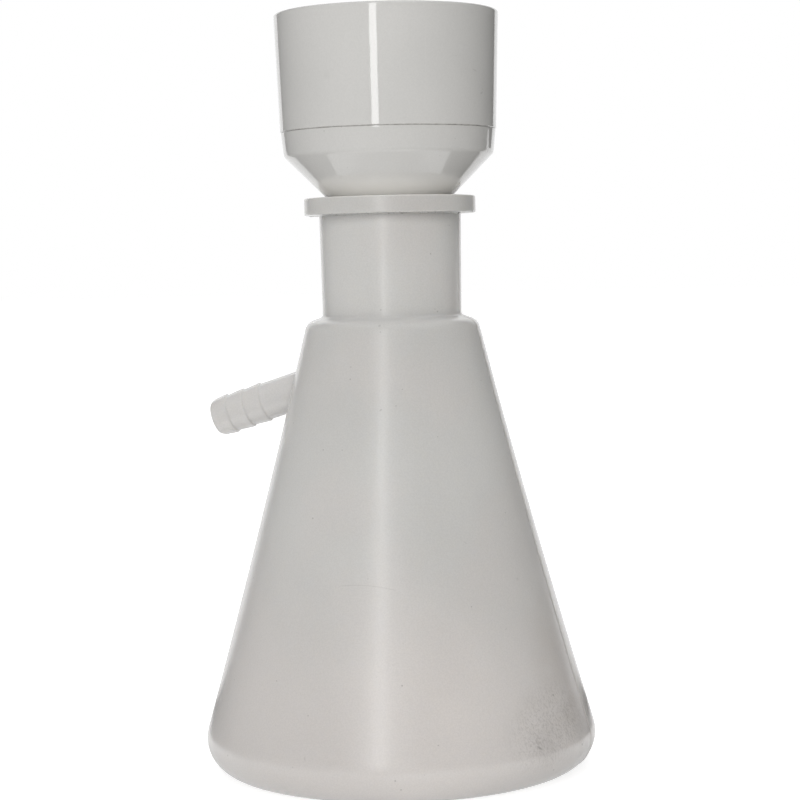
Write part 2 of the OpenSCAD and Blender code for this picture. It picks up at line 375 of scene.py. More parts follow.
def build_flask(material):
    skin = Skin()
    cols, middle = flask_columns()
    outer, inner = flask_paths()
    out_low, out_high = cone_ends(outer)
    in_low, in_high = cone_ends(inner)
    outer = bowed(with_rows(outer, 1.9), out_low, out_high)
    inner = bowed(with_rows(inner, 2.6), in_low, in_high)
    cone_out = sorted((z, r) for r, z in outer if out_low - 0.01 <= z <= out_high + 0.01 and r > 20)
    cone_in = sorted((z, r) for r, z in inner if in_low - 0.01 <= z <= in_high + 0.01 and r > 18)

    def radius_out(z):
        return float(np.interp(z, [c[0] for c in cone_out], [c[1] for c in cone_out]))

    def radius_in(z):
        return float(np.interp(z, [c[0] for c in cone_in], [c[1] for c in cone_in]))

    def ridge_at(r, z):
        """The parting line fades out under the base and at the flange's top edge."""
        if r < FOOT_R + 2 and z < 12:
            return 0.0
        low = min(max((z - 1.0) / 2.0, 0.0), 1.0)
        high = min(max((MOUTH_Z - 0.1 - z) / 0.8, 0.0), 1.0)
        return RIDGE * low * high

    def normal(path, k):
        a, b = path[max(k - 1, 0)], path[min(k + 1, len(path) - 1)]
        d = (b - a) / max(np.linalg.norm(b - a), 1e-9)
        return np.array([d[1], -d[0]])

    rows = []
    for k, (r, z) in enumerate(outer):
        if r < 1e-6:
            rows.append([skin.add((0, 0, z))] * len(cols))
            continue
        n, rise, row = normal(outer, k), ridge_at(r, z), []
        for share, angle in cols:
            t = angle(r)
            rr, zz = r + n[0] * rise * share, z + n[1] * rise * share
            row.append(skin.add((rr * math.cos(t), rr * math.sin(t), zz)))
        rows.append(row)
    start_inner = len(rows) - 1
    for r, z in inner[1:]:
        if r < 1e-6:
            rows.append([skin.add((0, 0, z))] * len(cols))
            continue
        rows.append([skin.add((r * math.cos(a(r)), r * math.sin(a(r)), z)) for _, a in cols])
    root = arm_point(arm_meets(radius_out, math.pi / 2, ARM_R), math.pi / 2, ARM_R)
    bore_root = arm_point(arm_meets(radius_in, math.pi / 2, ARM_BORE_R), math.pi / 2, ARM_BORE_R)
    half = len(RIDGE_STEPS) + 9
    block, edge, phis, shares = patch(
        skin, rows[:len(outer)], outer, middle, half, root[2], 11.0, radius_out,
        ARM_R + ROOT_FILLET, RIDGE)
    inner_rows = rows[start_inner:]

    def rows_within(h):
        return sum(abs(z - bore_root[2]) < h and r > 20 for r, z in inner)

    # the inside's block has as many rows as the outside's
    in_height = next(float(h) for h in np.arange(6.0, 20.0, 0.05)
                     if rows_within(h) == block[1] - block[0] + 1)
    in_block, in_edge, in_phis, _ = patch(
        skin, inner_rows, inner, middle, half, bore_root[2], in_height, radius_in, ARM_BORE_R, 0.0)
    # faces of the turned surface, but for the two blocks
    for k in range(len(rows) - 1):
        for j in range(len(cols)):
            if block[0] <= k < block[1] and block[2] <= j < block[3]:
                continue
            i = k - start_inner
            if in_block[0] <= i < in_block[1] and in_block[2] <= j < in_block[3]:
                continue
            m = (j + 1) % len(cols)
            skin.quad(rows[k][j], rows[k][m], rows[k + 1][m], rows[k + 1][j])
    # the fillet between body and arm
    last = edge
    ends = [arm_meets(radius_out, phi, ARM_R) for phi in phis]
    for w in (0.2, 0.4, 0.6, 0.8, 1.0):
        ring = []
        for i, phi in enumerate(phis):
            lift = RIDGE * shares[i]
            p0 = np.array(skin.verts[edge[i]])
            p1 = arm_point(ends[i], phi, ARM_R + lift)
            p2 = arm_point(ends[i] - ROOT_FILLET * 1.1, phi, ARM_R + lift)
            ring.append(skin.add((1 - w) ** 2 * p0 + 2 * w * (1 - w) * p1 + w * w * p2))
        skin.band(last, ring)
        last = ring
    # along the arm to its tip, round the tip and back through the bore
    path = arm_path()
    s0 = path[-1][0]
    for w in (0.25, 0.5, 0.75, 0.93):
        ring = [skin.add(arm_point((ends[i] - ROOT_FILLET * 1.1) * (1 - w) + s0 * w, phi,
                                   ARM_R + RIDGE * shares[i])) for i, phi in enumerate(phis)]
        skin.band(last, ring)
        last = ring
    for s, rho in reversed(path):
        fade = min(max((s - 0.2) / 1.2, 0.0), 1.0) if rho > ARM_R - 0.6 else 0.0
        ring = [skin.add(arm_point(s, phi, rho + RIDGE * share * fade))
                for phi, share in zip(phis, shares)]
        skin.band(last, ring)
        last = ring
    bore_ends = [arm_meets(radius_in, phi, ARM_BORE_R) for phi in in_phis]
    s1 = path[0][0]
    for w in (0.15, 0.35, 0.6, 0.85):
        ring = [skin.add(arm_point(s1 + (bore_ends[i] - s1) * w, phi, ARM_BORE_R))
                for i, phi in enumerate(in_phis)]
        skin.band(last, ring)
        last = ring
    skin.band(last, in_edge)
    return new_piece("flask_shell", skin.verts, skin.faces, "flask",
                     ["flask"], material)


# ---------------------------------------------------------------- funnel

BASE_LOW, BASE_HIGH = box_mm("funnel_base")
BOWL_LOW, BOWL_HIGH = box_mm("funnel_bowl")
STOPPER_LOW, STOPPER_HIGH = box_mm("neck_stopper")
JOINT_Z = BASE_HIGH[2]
COLLAR_TOP_R = BASE_HIGH[1]
COLLAR_LOW_R = COLLAR_TOP_R - 0.7
COLLAR_Z = JOINT_Z - 6.5
STEM_R, STEM_BORE_R = 6.3, 4.8
STEM_TOP_Z = STOPPER_HIGH[2]
STEM_END_Z = BASE_LOW[2]
FUNNEL_WALL = 1.8
CONE_SHIFT = FUNNEL_WALL * math.sqrt(2)
COLLAR_BORE_R = COLLAR_LOW_R - 1.5
LEDGE_Z = COLLAR_Z + 0.3
BOWL_R = COLLAR_TOP_R + 0.15
RIM_R = BOWL_R + 1.1
RIM_Z = BOWL_HIGH[2]
PLATE_Z = JOINT_Z + 2.2
SPIGOT_R = COLLAR_BORE_R - 0.3
SPIGOT_Z = BOWL_LOW[2]
HOLE_R, HOLE_PITCH, HOLE_RINGS = 0.75, 4.6, 5


def build_base(material):
    """Stem, cone and collar. The stem's end is cut at 45 degrees."""
    top = STEM_END_Z + 2 * STEM_R + 4

    def bevel(p):
        x, y, z = p
        if z >= top:
            return p
        end = STEM_END_Z + STEM_R - x
        return x, y, top - (top - z) * (top - end) / (top - STEM_END_Z)

    cone_top = LEDGE_Z - COLLAR_Z + COLLAR_LOW_R - CONE_SHIFT
    bore_top_z = LEDGE_Z - (cone_top - STEM_BORE_R)
    pts = [(STEM_R - 0.7, STEM_END_Z), (STEM_R, STEM_END_Z), (STEM_R, STEM_TOP_Z),
           (COLLAR_LOW_R, COLLAR_Z), (COLLAR_TOP_R, JOINT_Z), (COLLAR_BORE_R, JOINT_Z),
           (COLLAR_BORE_R, LEDGE_Z), (cone_top, LEDGE_Z), (STEM_BORE_R, bore_top_z),
           (STEM_BORE_R, STEM_END_Z), (STEM_R - 0.7, STEM_END_Z)]
    radii = [0, 0.25, 0.5, 1.8, 0.22, 0.25, 0.2, 0.3, 1.0, 0.25, 0]
    path = with_rows(round_corners(pts, radii, 5), 2.5)[:-1]
    skin = Skin()
    turned(skin, path, even_angles(224), bevel, closed=True)
    return new_piece("funnel_cone", skin.verts, skin.faces, "funnel",
                     ["funnel_base"], material)


def holes():
    """Middles of the plate's drain holes, in rings."""
    for ring in range(HOLE_RINGS + 1):
        for k in range(max(6 * ring, 1)):
            a = math.radians(k * 60 / max(ring, 1))
            yield ring * HOLE_PITCH * math.cos(a), ring * HOLE_PITCH * math.sin(a)


def flat_face(outline, cuts, z):
    """Triangles of a flat face at height z, with its holes left open."""
    curve = bpy.data.curves.new("plate_outline", "CURVE")
    curve.dimensions, curve.fill_mode = "2D", "BOTH"
    for loop in [outline] + cuts:
        spline = curve.splines.new("POLY")
        spline.points.add(len(loop) - 1)
        for p, (x, y) in zip(spline.points, loop):
            p.co = (x, y, 0, 1)
        spline.use_cyclic_u = True
    obj = bpy.data.objects.new("plate_outline", curve)
    bpy.context.scene.collection.objects.link(obj)
    bpy.context.view_layer.update()
    mesh = obj.to_mesh()
    verts = [(v.co.x, v.co.y, z) for v in mesh.vertices]
    faces = [list(p.vertices) for p in mesh.polygons]
    obj.to_mesh_clear()
    bpy.data.objects.remove(obj)
    bpy.data.curves.remove(curve)
    return verts, faces


def build_bowl(material):
    """Bowl, perforated plate and spigot, as one moulding."""
    wall_low, wall_high = BOWL_R - FUNNEL_WALL, RIM_R - FUNNEL_WALL
    inner_r = SPIGOT_R - 1.5
    plate_edge, under_edge = wall_low - 1.6, inner_r - 1.0
    angles = even_angles(256)
    outside = [(under_edge, JOINT_Z), (inner_r, JOINT_Z), (inner_r, SPIGOT_Z), (SPIGOT_R, SPIGOT_Z),
               (SPIGOT_R, JOINT_Z), (BOWL_R, JOINT_Z), (RIM_R, RIM_Z), (wall_high, RIM_Z),
               (wall_low, PLATE_Z), (plate_edge, PLATE_Z)]
    radii = [0, 0.4, 0.2, 0.4, 0.15, 0.22, 0.75, 0.75, 1.0, 0]
    path = with_rows(round_corners(outside, radii, 6), 2.4)
    skin = Skin()
    rows = turned(skin, path, angles)
    bevel = 0.18
    for z, edge in ((PLATE_Z, plate_edge), (JOINT_Z, under_edge)):
        rim = [(edge * math.cos(a), edge * math.sin(a)) for a in angles]
        cuts = [[(x + (HOLE_R + bevel) * math.cos(a), y + (HOLE_R + bevel) * math.sin(a))
                 for a in even_angles(20)] for x, y in holes()]
        verts, faces = flat_face(rim, cuts, z)
        at = len(skin.verts)
        skin.verts += verts
        skin.faces += [[at + k for k in f] for f in faces]
    for x, y in holes():
        rings = []
        for z, r in ((PLATE_Z, HOLE_R + bevel), (PLATE_Z - bevel, HOLE_R),
                     (JOINT_Z + bevel, HOLE_R), (JOINT_Z, HOLE_R + bevel)):
            rings.append([skin.add((x + r * math.cos(a), y + r * math.sin(a), z))
                          for a in even_angles(20)])
        for a, b in zip(rings[:-1], rings[1:]):
            skin.band(a, b)
    return new_piece("funnel_bowl_ring", skin.verts, skin.faces, "bowl",
                     ["funnel_bowl"], material)


def build_stopper(material):
    top_r = STOPPER_HIGH[1]
    low_r = top_r - 2.05
    low, high = STOPPER_LOW[2], STOPPER_HIGH[2]
    pts = [(STEM_R + 3, low), (low_r, low), (top_r, high), (STEM_R, high), (STEM_R, low), (STEM_R + 3, low)]
    path = with_rows(round_corners(pts, [0, 0.8, 0.8, 0.35, 0.35, 0], 6), 2.5)[:-1]
    skin = Skin()
    turned(skin, path, even_angles(160), closed=True)
    return new_piece("stopper", skin.verts, skin.faces, "funnel",
                     ["neck_stopper"], material)


# ---------------------------------------------------------------- materials

class Surface:
    """One material, with short calls for its nodes. Places are in the piece's own metres."""

    def __init__(self, name, roughness):
        self.mat = bpy.data.materials.new(name)
        self.mat.use_nodes = True
        self.tree = self.mat.node_tree
        self.shader = self.tree.nodes["Principled BSDF"]
        self.shader.inputs["Roughness"].default_value = roughness
        self.place = self.add("ShaderNodeTexCoord").outputs["Object"]
        self.height = self.add("ShaderNodeSeparateXYZ", {0: self.place}).outputs[2]

    def put(self, socket, value):
        if isinstance(value, bpy.types.NodeSocket):
            self.tree.links.new(value, socket)
        else:
            socket.default_value = value

    def add(self, kind, values=None, **settings):
        node = self.tree.nodes.new(kind)
        for key, value in settings.items():
            setattr(node, key, value)
        for key, value in (values or {}).items():
            self.put(node.inputs[key], value)
        return node

    def calc(self, operation, a, b=0.0, clamp=False):
        return self.add("ShaderNodeMath", {0: a, 1: b}, operation=operation, use_clamp=clamp).outputs[0]

    def scaled(self, low, high, value, low_to=0.0, high_to=1.0):
        """value taken smoothly from low..high to low_to..high_to."""
        return self.add("ShaderNodeMapRange", {0: value, 1: low, 2: high, 3: low_to, 4: high_to},
                        interpolation_type="SMOOTHSTEP").outputs[0]

    def noise(self, size_mm, detail=2.0, rough=0.5, stretch=(1, 1, 1), shift=0.0, turn=(0, 0, 0)):
        """Noise whose features are about size_mm across, longer along an axis where stretch is more."""
        where = self.add("ShaderNodeMapping", {0: self.place, 1: (shift, shift * 0.7, shift * 0.4),
                                               2: turn, 3: stretch}, vector_type="TEXTURE").outputs[0]
        values = {0: where, 2: 1000.0 / size_mm, 3: detail, 4: rough}
        return self.add("ShaderNodeTexNoise", values).outputs[0]

    def mark(self, angle, radius, height, half, tilt=0.0):
        """Distance from a place on the surface, in units of half = (through, across, up) in mm."""
        a = math.radians(angle)
        centre = (radius * math.cos(a) * MM, radius * math.sin(a) * MM, height * MM)
        values = {0: self.place, 1: centre, 2: (math.radians(tilt), 0, a), 3: tuple(h * MM for h in half)}
        local = self.add("ShaderNodeMapping", values, vector_type="TEXTURE").outputs[0]
        return self.add("ShaderNodeVectorMath", {0: local}, operation="LENGTH").outputs["Value"]

    def near(self, distance, inner=0.4, outer=1.0):
        return self.scaled(inner, outer, distance, 1.0, 0.0)

    def specks(self, cell_mm, size, shift=0.0):
        """Specks of dust, here and there: 1 in their middle."""
        where = self.add("ShaderNodeMapping", {0: self.place, 1: (shift, -shift, shift * 0.5)},
                         vector_type="TEXTURE").outputs[0]
        cells = self.add("ShaderNodeTexVoronoi", {0: where, 2: 1000.0 / cell_mm}, feature="F1")
        return self.scaled(size * 0.45, size, cells.outputs["Distance"], 1.0, 0.0)

    def colour(self, low, high, factor):
        mix = self.add("ShaderNodeMix", {0: factor, 6: (*low, 1), 7: (*high, 1)}, data_type="RGBA")
        return mix.outputs[2]

    def over(self, base, colour, factor, blend="MIX"):
        top = colour if isinstance(colour, bpy.types.NodeSocket) else (*colour, 1)
        mix = self.add("ShaderNodeMix", {0: factor, 6: base, 7: top}, data_type="RGBA", blend_type=blend)
        return mix.outputs[2]

    def bump(self, height, depth_mm, below=None):
        values = {"Height": height, "Distance": depth_mm * MM, "Strength": 1.0}
        if below is not None:
            values["Normal"] = below
        return self.add("ShaderNodeBump", values).outputs[0]

    def finish(self, colour, roughness, normal):
        self.put(self.shader.inputs["Base Color"], colour)
        self.put(self.shader.inputs["Roughness"], roughness)
        self.put(self.shader.inputs["Normal"], normal)
        return self.mat


def blown_polythene():
    """Satin, slightly translucent flask: fine grain, dust, scuffs and collected dirt, with painted light
    and shade.
    """
    m = Surface("flask_plastic", 0.42)
    # paler and a little pinker towards the bottom; the paler part is painted light, standing in for light
    # from the table below
    height_tint_and_painted_light = m.scaled(0.015, 0.075, m.height)
    colour = m.colour((0.722, 0.695, 0.678), (0.672, 0.668, 0.655), height_tint_and_painted_light)
    # painted light and shade: a little darker on the left, paler low on the front, and darker again under
    # the shoulder
    painted_side_shade = m.add("ShaderNodeVectorMath", {0: m.place, 1: (0.96, 0.28, 0)},
                  operation="DOT_PRODUCT").outputs["Value"]
    colour = m.over(colour, m.scaled(-0.055, 0.012, painted_side_shade, 0.945, 1.02), 1.0, "MULTIPLY")
    pale = m.calc("MULTIPLY", m.near(m.mark(-64, 47, 24, (34, 30, 34)), 0.0), 0.6)
    colour = m.over(colour, (0.790, 0.752, 0.726), pale)
    painted_shoulder_shade = m.calc("MAXIMUM", m.scaled(0.085, 0.115, m.height, 1.0, 0.955),
                   m.scaled(0.121, 0.126, m.height, 0.9, 1.0))
    colour = m.over(colour, painted_shoulder_shade, 1.0, "MULTIPLY")
    cloud = m.scaled(0.3, 0.7, m.noise(38, 2.0, 0.5), 0.972, 1.02)
    colour = m.over(colour, cloud, 1.0, "MULTIPLY")
    patch_tint = m.scaled(0.42, 0.62, m.noise(26, 1.0, 0.4, shift=0.31), 0.0, 0.35)
    colour = m.over(colour, (0.700, 0.672, 0.655), patch_tint)
    # painted light: the side arm is thin and lets some light through, so its colour is painted paler
    arm = ARM_TIP * MM + 0.008 * np.array([math.cos(ARM_SLOPE), 0, math.sin(ARM_SLOPE)])
    along = m.add("ShaderNodeMapping", {0: m.place, 1: tuple(arm), 2: (0, -ARM_SLOPE, 0),
                                        3: (0.045, 0.0063, 0.0063)}, vector_type="TEXTURE").outputs[0]
    along = m.add("ShaderNodeVectorMath", {0: along}, operation="LENGTH").outputs["Value"]
    arm_part = m.near(along, 0.93)
    colour = m.over(colour, (0.720, 0.708, 0.698), m.calc("MULTIPLY", arm_part, 0.85))
    rim = m.scaled((MOUTH_Z - FLANGE_T - 0.2) * MM, (MOUTH_Z - FLANGE_T + 0.1) * MM, m.height, 1.0, 0.93)
    colour = m.over(colour, rim, 1.0, "MULTIPLY")
    grain = m.noise(0.42, 3.0, 0.6)
    colour = m.over(colour, m.scaled(0.3, 0.7, grain, 0.965, 1.03), 1.0, "MULTIPLY")
    # painted light: the flange's top is painted paler, for light that falls on it from all round
    top = m.scaled((MOUTH_Z - 0.4) * MM, (MOUTH_Z - 0.05) * MM, m.height)
    colour = m.over(colour, (0.790, 0.778, 0.752), top)
    # dust and small dark specks
    dark = m.calc("MULTIPLY", m.specks(6.3, 0.05), 0.34)
    dark = m.calc("MAXIMUM", dark, m.calc("MULTIPLY", m.specks(3.4, 0.042, 0.013), 0.14))
    for angle, radius, height, half, tilt, depth in (
            (-47.2, 43.2, 49.3, (2, 0.22, 0.3), 0, 0.45), (-21.2, 37.2, 71.8, (2, 0.24, 0.24), 0, 0.5),
            (-80.5, 29.6, 100.3, (2, 0.6, 0.25), 25, 0.3), (-72.6, 29.3, 101.3, (2, 0.28, 0.26), 0, 0.3),
            (-82.0, 23.8, 122.2, (3, 0.55, 0.4), 20, 0.22), (-98.9, 26.6, 111.5, (2, 0.3, 0.25), 0, 0.25),
            (-23.4, 41.8, 54.6, (2, 0.8, 0.7), 35, 0.12), (-45.9, 38.9, 65.5, (2, 0.9, 0.25), -35, 0.14),
            (-102.1, 50.3, 22.9, (2, 0.3, 0.28), 0, 0.3), (-115.9, 48.2, 30.5, (2, 0.3, 0.28), 0, 0.3),
            (-101.5, 53.1, 12.3, (2, 0.2, 0.9), 15, 0.2), (-34.6, 45.0, 42.7, (2, 0.7, 0.25), 40, 0.13),
            (-19.3, 50.0, 23.9, (2, 0.5, 0.45), 0, 0.4), (-31.1, 53.2, 12.1, (2, 1.1, 0.45), -40, 0.4),
            (-9.3, 53.2, 9.3, (2, 0.6, 0.45), 0, 0.45), (-15.3, 53.0, 12.9, (2, 0.6, 0.4), 20, 0.2)):
        spot = m.near(m.mark(angle, radius, height, half, tilt), 0.3)
        dark = m.calc("MAXIMUM", dark, m.calc("MULTIPLY", spot, depth))
    # a fine scratch that runs round the front in a shallow arc
    aside = m.calc("SUBTRACT", m.add("ShaderNodeSeparateXYZ", {0: m.place}).outputs[0], 0.00146)
    arc = m.calc("MULTIPLY", m.calc("MULTIPLY", aside, aside), 14.5)
    line = m.calc("ABSOLUTE", m.calc("SUBTRACT", m.calc("ADD", m.height, arc), 0.05575))
    line = m.scaled(0.00005, 0.0002, line, 1.0, 0.0)
    line = m.calc("MULTIPLY", line, m.near(m.mark(-84.6, 41.8, 55.1, (12, 8.6, 3)), 0.7))
    dark = m.calc("MAXIMUM", dark, m.calc("MULTIPLY", line, 0.10))
    # worn patch low on one side: short slanting strokes and ground-in grey
    worn = m.near(m.mark(-24, 52.0, 17.0, (20, 22, 13.5), 18), 0.3)
    core = m.near(m.mark(-8, 52.6, 14, (16, 12, 11), 0), 0.15)
    strokes = m.scaled(0.47, 0.62, m.noise(0.6, 4.0, 0.75, stretch=(1, 1, 3.0), turn=(0.5, 0.35, 0),
                                           shift=0.07))
    smear = m.scaled(0.38, 0.64, m.noise(7, 4.0, 0.7, shift=0.21))
    worn_dark = m.calc("MULTIPLY", m.calc("ADD", worn, m.calc("MULTIPLY", core, 0.55)),
                       m.calc("ADD", m.calc("MULTIPLY", strokes, 0.23), m.calc("MULTIPLY", smear, 0.12)))
    colour = m.over(colour, (0.10, 0.09, 0.08), dark)
    colour = m.over(colour, (0.17, 0.15, 0.135), worn_dark)
    # painted shadow, in a ragged line along both sides of each parting line; a painted highlight on the
    # line itself follows
    off = m.calc("ABSOLUTE", m.add("ShaderNodeSeparateXYZ", {0: m.place}).outputs[1])
    edge = m.scaled(0.3, 0.7, m.noise(2.2, 3.0, 0.7, shift=0.8), 0.0006, 0.0017)
    beside = m.calc("MULTIPLY", m.scaled(0.0002, 0.0004, off),
                    m.scaled(0.0, 0.00035, m.calc("SUBTRACT", edge, off)))
    beside = m.calc("MULTIPLY", beside,
                    m.scaled(0.3, 0.65, m.noise(4.0, 3.0, 0.7, shift=0.33), 0.08, 0.34))
    bare = m.calc("MULTIPLY", m.scaled(0.2, 0.8, arm_part, 1.0, 0.0),
                  m.scaled((NECK_ROOT[1] - 2) * MM, NECK_ROOT[1] * MM, m.height, 1.0, 0.1))
    beside = m.calc("MULTIPLY", beside, bare)
    colour = m.over(colour, (0.25, 0.215, 0.19), beside)
    # painted highlight along the ridge of each parting line
    ridge = m.scaled(0.00012, 0.0003, off, 0.45, 0.0)
    colour = m.over(colour, (0.80, 0.785, 0.77), ridge)
    # brownish painted shade, blotchy, low on the other flank; and dark crumbs in the corner under the
    # flange, partly dirt and partly painted shade
    flank_painted_shade = m.calc("MULTIPLY", m.near(m.mark(-2, 47, 26, (30, 30, 42)), 0.2),
                  m.scaled(0.35, 0.7, m.noise(14, 3.0, 0.6, shift=0.5), 0.04, 0.19))
    colour = m.over(colour, (0.40, 0.345, 0.29), flank_painted_shade)
    corner = m.calc("ABSOLUTE", m.calc("SUBTRACT", m.height, (MOUTH_Z - FLANGE_T - 0.1) * MM))
    corner = m.scaled(0.00012, 0.00042, corner, 1.0, 0.0)
    crumbs = m.scaled(0.52, 0.70, m.noise(0.7, 3.0, 0.7, shift=0.02), 0.0, 0.5)
    colour = m.over(colour, (0.12, 0.105, 0.085), m.calc("MULTIPLY", corner, crumbs))
    crumb = m.near(m.mark(-1.5, 19.6, MOUTH_Z - FLANGE_T - 0.25, (0.8, 0.45, 0.4)), 0.5)
    other = m.near(m.mark(-159, 23.4, MOUTH_Z - FLANGE_T + 0.2, (0.7, 0.8, 0.35)), 0.4)
    colour = m.over(colour, (0.02, 0.018, 0.016), m.calc("MULTIPLY", crumb, 0.9))
    colour = m.over(colour, (0.05, 0.045, 0.04), m.calc("MULTIPLY", other, 0.75))
    rough = m.scaled(0.25, 0.75, m.noise(11, 3.0, 0.6, shift=0.4), 0.33, 0.40)
    rough = m.calc("ADD", rough, m.calc("MULTIPLY", worn_dark, 0.5))
    normal = m.bump(grain, 0.014)
    normal = m.bump(m.noise(1.6, 2.0, 0.5, shift=0.9), 0.012, normal)
    normal = m.bump(m.noise(17, 1.0, 0.5, shift=0.6), 0.10, normal)
    m.shader.inputs["Subsurface Weight"].default_value = 0.35
    m.shader.inputs["Subsurface Radius"].default_value = (1.0, 0.92, 0.8)
    m.shader.inputs["Subsurface Scale"].default_value = 0.004
    m.shader.inputs["Diffuse Roughness"].default_value = 0.9
    m.shader.inputs["Specular IOR Level"].default_value = 1.0
    m.shader.inputs["Coat Weight"].default_value = 1.0
    m.shader.inputs["Coat Roughness"].default_value = 0.2
    m.shader.inputs["Coat IOR"].default_value = 1.3
    m.put(m.shader.inputs["Coat Normal"], normal)
    return m.finish(colour, rough, normal)


def moulded_polypropylene():
    """Glossy funnel: nearly flat, with the faint waviness of a moulding, dust, hairlines, and painted light
    in the throat.
    """
    m = Surface("funnel_plastic", 0.07)
    cloud = m.scaled(0.3, 0.7, m.noise(30, 2.0, 0.5))
    colour = m.colour((0.630, 0.628, 0.616), (0.652, 0.648, 0.636), cloud)
    grain = m.noise(0.5, 3.0, 0.6, shift=0.13)
    colour = m.over(colour, m.scaled(0.3, 0.7, grain, 0.98, 1.02), 1.0, "MULTIPLY")
    dark = m.calc("MULTIPLY", m.specks(5.2, 0.042, 0.3), 0.22)
    for angle, radius, height, half, tilt, depth in (
            (-105.3, 29.9, 188.0, (2, 1.5, 1.7), 0, 0.035), (-23.0, 30.0, 189.0, (2, 1.3, 0.3), -18, 0.14),
            (-16.5, 29.8, 183.2, (2, 1.0, 0.35), 22, 0.16), (-15.5, 29.8, 184.2, (2, 0.35, 0.3), 0, 0.16),
            (-108.6, 29.2, 173.6, (2, 0.3, 0.3), 0, 0.25)):
        spot = m.near(m.mark(angle, radius, height, half, tilt), 0.3)
        dark = m.calc("MAXIMUM", dark, m.calc("MULTIPLY", spot, depth))
    colour = m.over(colour, (0.12, 0.11, 0.10), dark)
    # painted light: the throat is painted paler, for light that the wall lets through from the bright parts
    # round it
    painted_throat_light = m.calc("MULTIPLY", m.scaled((MOUTH_Z + 1.5) * MM, (MOUTH_Z + 6.5) * MM, m.height, 1.0, 0.0),
                    m.scaled((MOUTH_Z - 3.0) * MM, (MOUTH_Z - 0.5) * MM, m.height))
    colour = m.over(colour, (0.860, 0.850, 0.825), painted_throat_light)
    # two faint pale hairlines down the bowl
    for angle, top in ((-53.8, 206.0), (-101.2, 188.0)):
        hair = m.near(m.mark(angle, 30.0, top - 14, (1.2, 0.16, 14)), 0.6)
        colour = m.over(colour, (0.66, 0.655, 0.64), m.calc("MULTIPLY", hair, 0.5))
    # grey dust in the joint between bowl and collar
    joint = m.calc("ABSOLUTE", m.calc("SUBTRACT", m.height, JOINT_Z * MM))
    joint = m.scaled(0.00010, 0.00030, joint, 1.0, 0.0)
    colour = m.over(colour, (0.20, 0.185, 0.16), m.calc("MULTIPLY", joint, m.scaled(
        0.35, 0.7, m.noise(1.3, 2.0, 0.6, shift=0.15), 0.14, 0.42)))
    rough = m.scaled(0.3, 0.7, m.noise(6, 4.0, 0.65, shift=0.4), 0.03, 0.07)
    normal = m.bump(m.noise(1.5, 3.0, 0.6, stretch=(1, 1, 1.8)), 0.0055)
    normal = m.bump(m.noise(9, 1.0, 0.5, shift=0.6), 0.018, normal)
    m.shader.inputs["Coat Weight"].default_value = 0.7
    m.put(m.shader.inputs["Coat Roughness"], rough)
    m.put(m.shader.inputs["Coat Normal"], normal)
    return m.finish(colour, rough, normal)


def stopper_rubber():
    """Matt pale rubber with a bloom and fine pits."""
    m = Surface("stopper_rubber", 0.6)
    bloom = m.scaled(0.3, 0.7, m.noise(8, 4.0, 0.6))
    colour = m.colour((0.50, 0.475, 0.42), (0.58, 0.56, 0.51), bloom)
    colour = m.over(colour, (0.2, 0.18, 0.15), m.calc("MULTIPLY", m.specks(4.0, 0.07, 0.2), 0.4))
    normal = m.bump(m.noise(0.5, 4.0, 0.65), 0.03)
    return m.finish(colour, m.scaled(0.3, 0.7, m.noise(3, 3.0, 0.6), 0.5, 0.68), normal)


flask_mat = blown_polythene()
funnel_mat = moulded_polypropylene()
rubber_mat = stopper_rubber()

build_flask(flask_mat)
build_base(funnel_mat)
build_bowl(funnel_mat)
build_stopper(rubber_mat)


# ---------------------------------------------------------------- floor, light, camera

CAMERA_AZIMUTH = math.radians(16.5)
CAMERA_DISTANCE, CAMERA_HEIGHT, CAMERA_LENS = 0.610, 0.1388, 100.04
CAMERA_PITCH, CAMERA_YAW, CAMERA_ROLL = math.radians(3.543), math.radians(0.152), math.radians(1.25)


def studio(angle, distance, height):
    """A place in the studio: angle in degrees to the right of the camera, seen from the camera."""
    a = CAMERA_AZIMUTH + math.radians(angle)
    return Vector((distance * math.sin(a), -distance * math.cos(a), height))


def shader_mix(tree, factor, low, high):
    mix = tree.nodes.new("ShaderNodeMixShader")
    tree.links.new(factor, mix.inputs[0])
    tree.links.new(low, mix.inputs[1])
    tree.links.new(high, mix.inputs[2])
    return mix.outputs[0]


def tree_math(tree, operation, a, b=0.0, clamp=False):
    node = tree.nodes.new("ShaderNodeMath")
    node.operation, node.use_clamp = operation, clamp
    for socket, value in zip(node.inputs, (a, b)):
        if isinstance(value, bpy.types.NodeSocket):
            tree.links.new(value, socket)
        else:
            socket.default_value = value
    return node.outputs[0]


def tree_range(tree, value, low, high, low_to, high_to):
    node = tree.nodes.new("ShaderNodeMapRange")
    node.interpolation_type = "SMOOTHSTEP"
    for socket, v in zip(node.inputs, (value, low, high, low_to, high_to)):
        if isinstance(v, bpy.types.NodeSocket):
            tree.links.new(v, socket)
        else:
            socket.default_value = v
    return node.outputs[0]


def tree_dot(tree, vector, axis):
    node = tree.nodes.new("ShaderNodeVectorMath")
    node.operation = "DOT_PRODUCT"
    tree.links.new(vector, node.inputs[0])
    node.inputs[1].default_value = axis
    return node.outputs["Value"]


BACK = (-math.sin(CAMERA_AZIMUTH), math.cos(CAMERA_AZIMUTH), 0)
RIGHT = (math.cos(CAMERA_AZIMUTH), math.sin(CAMERA_AZIMUTH), 0)


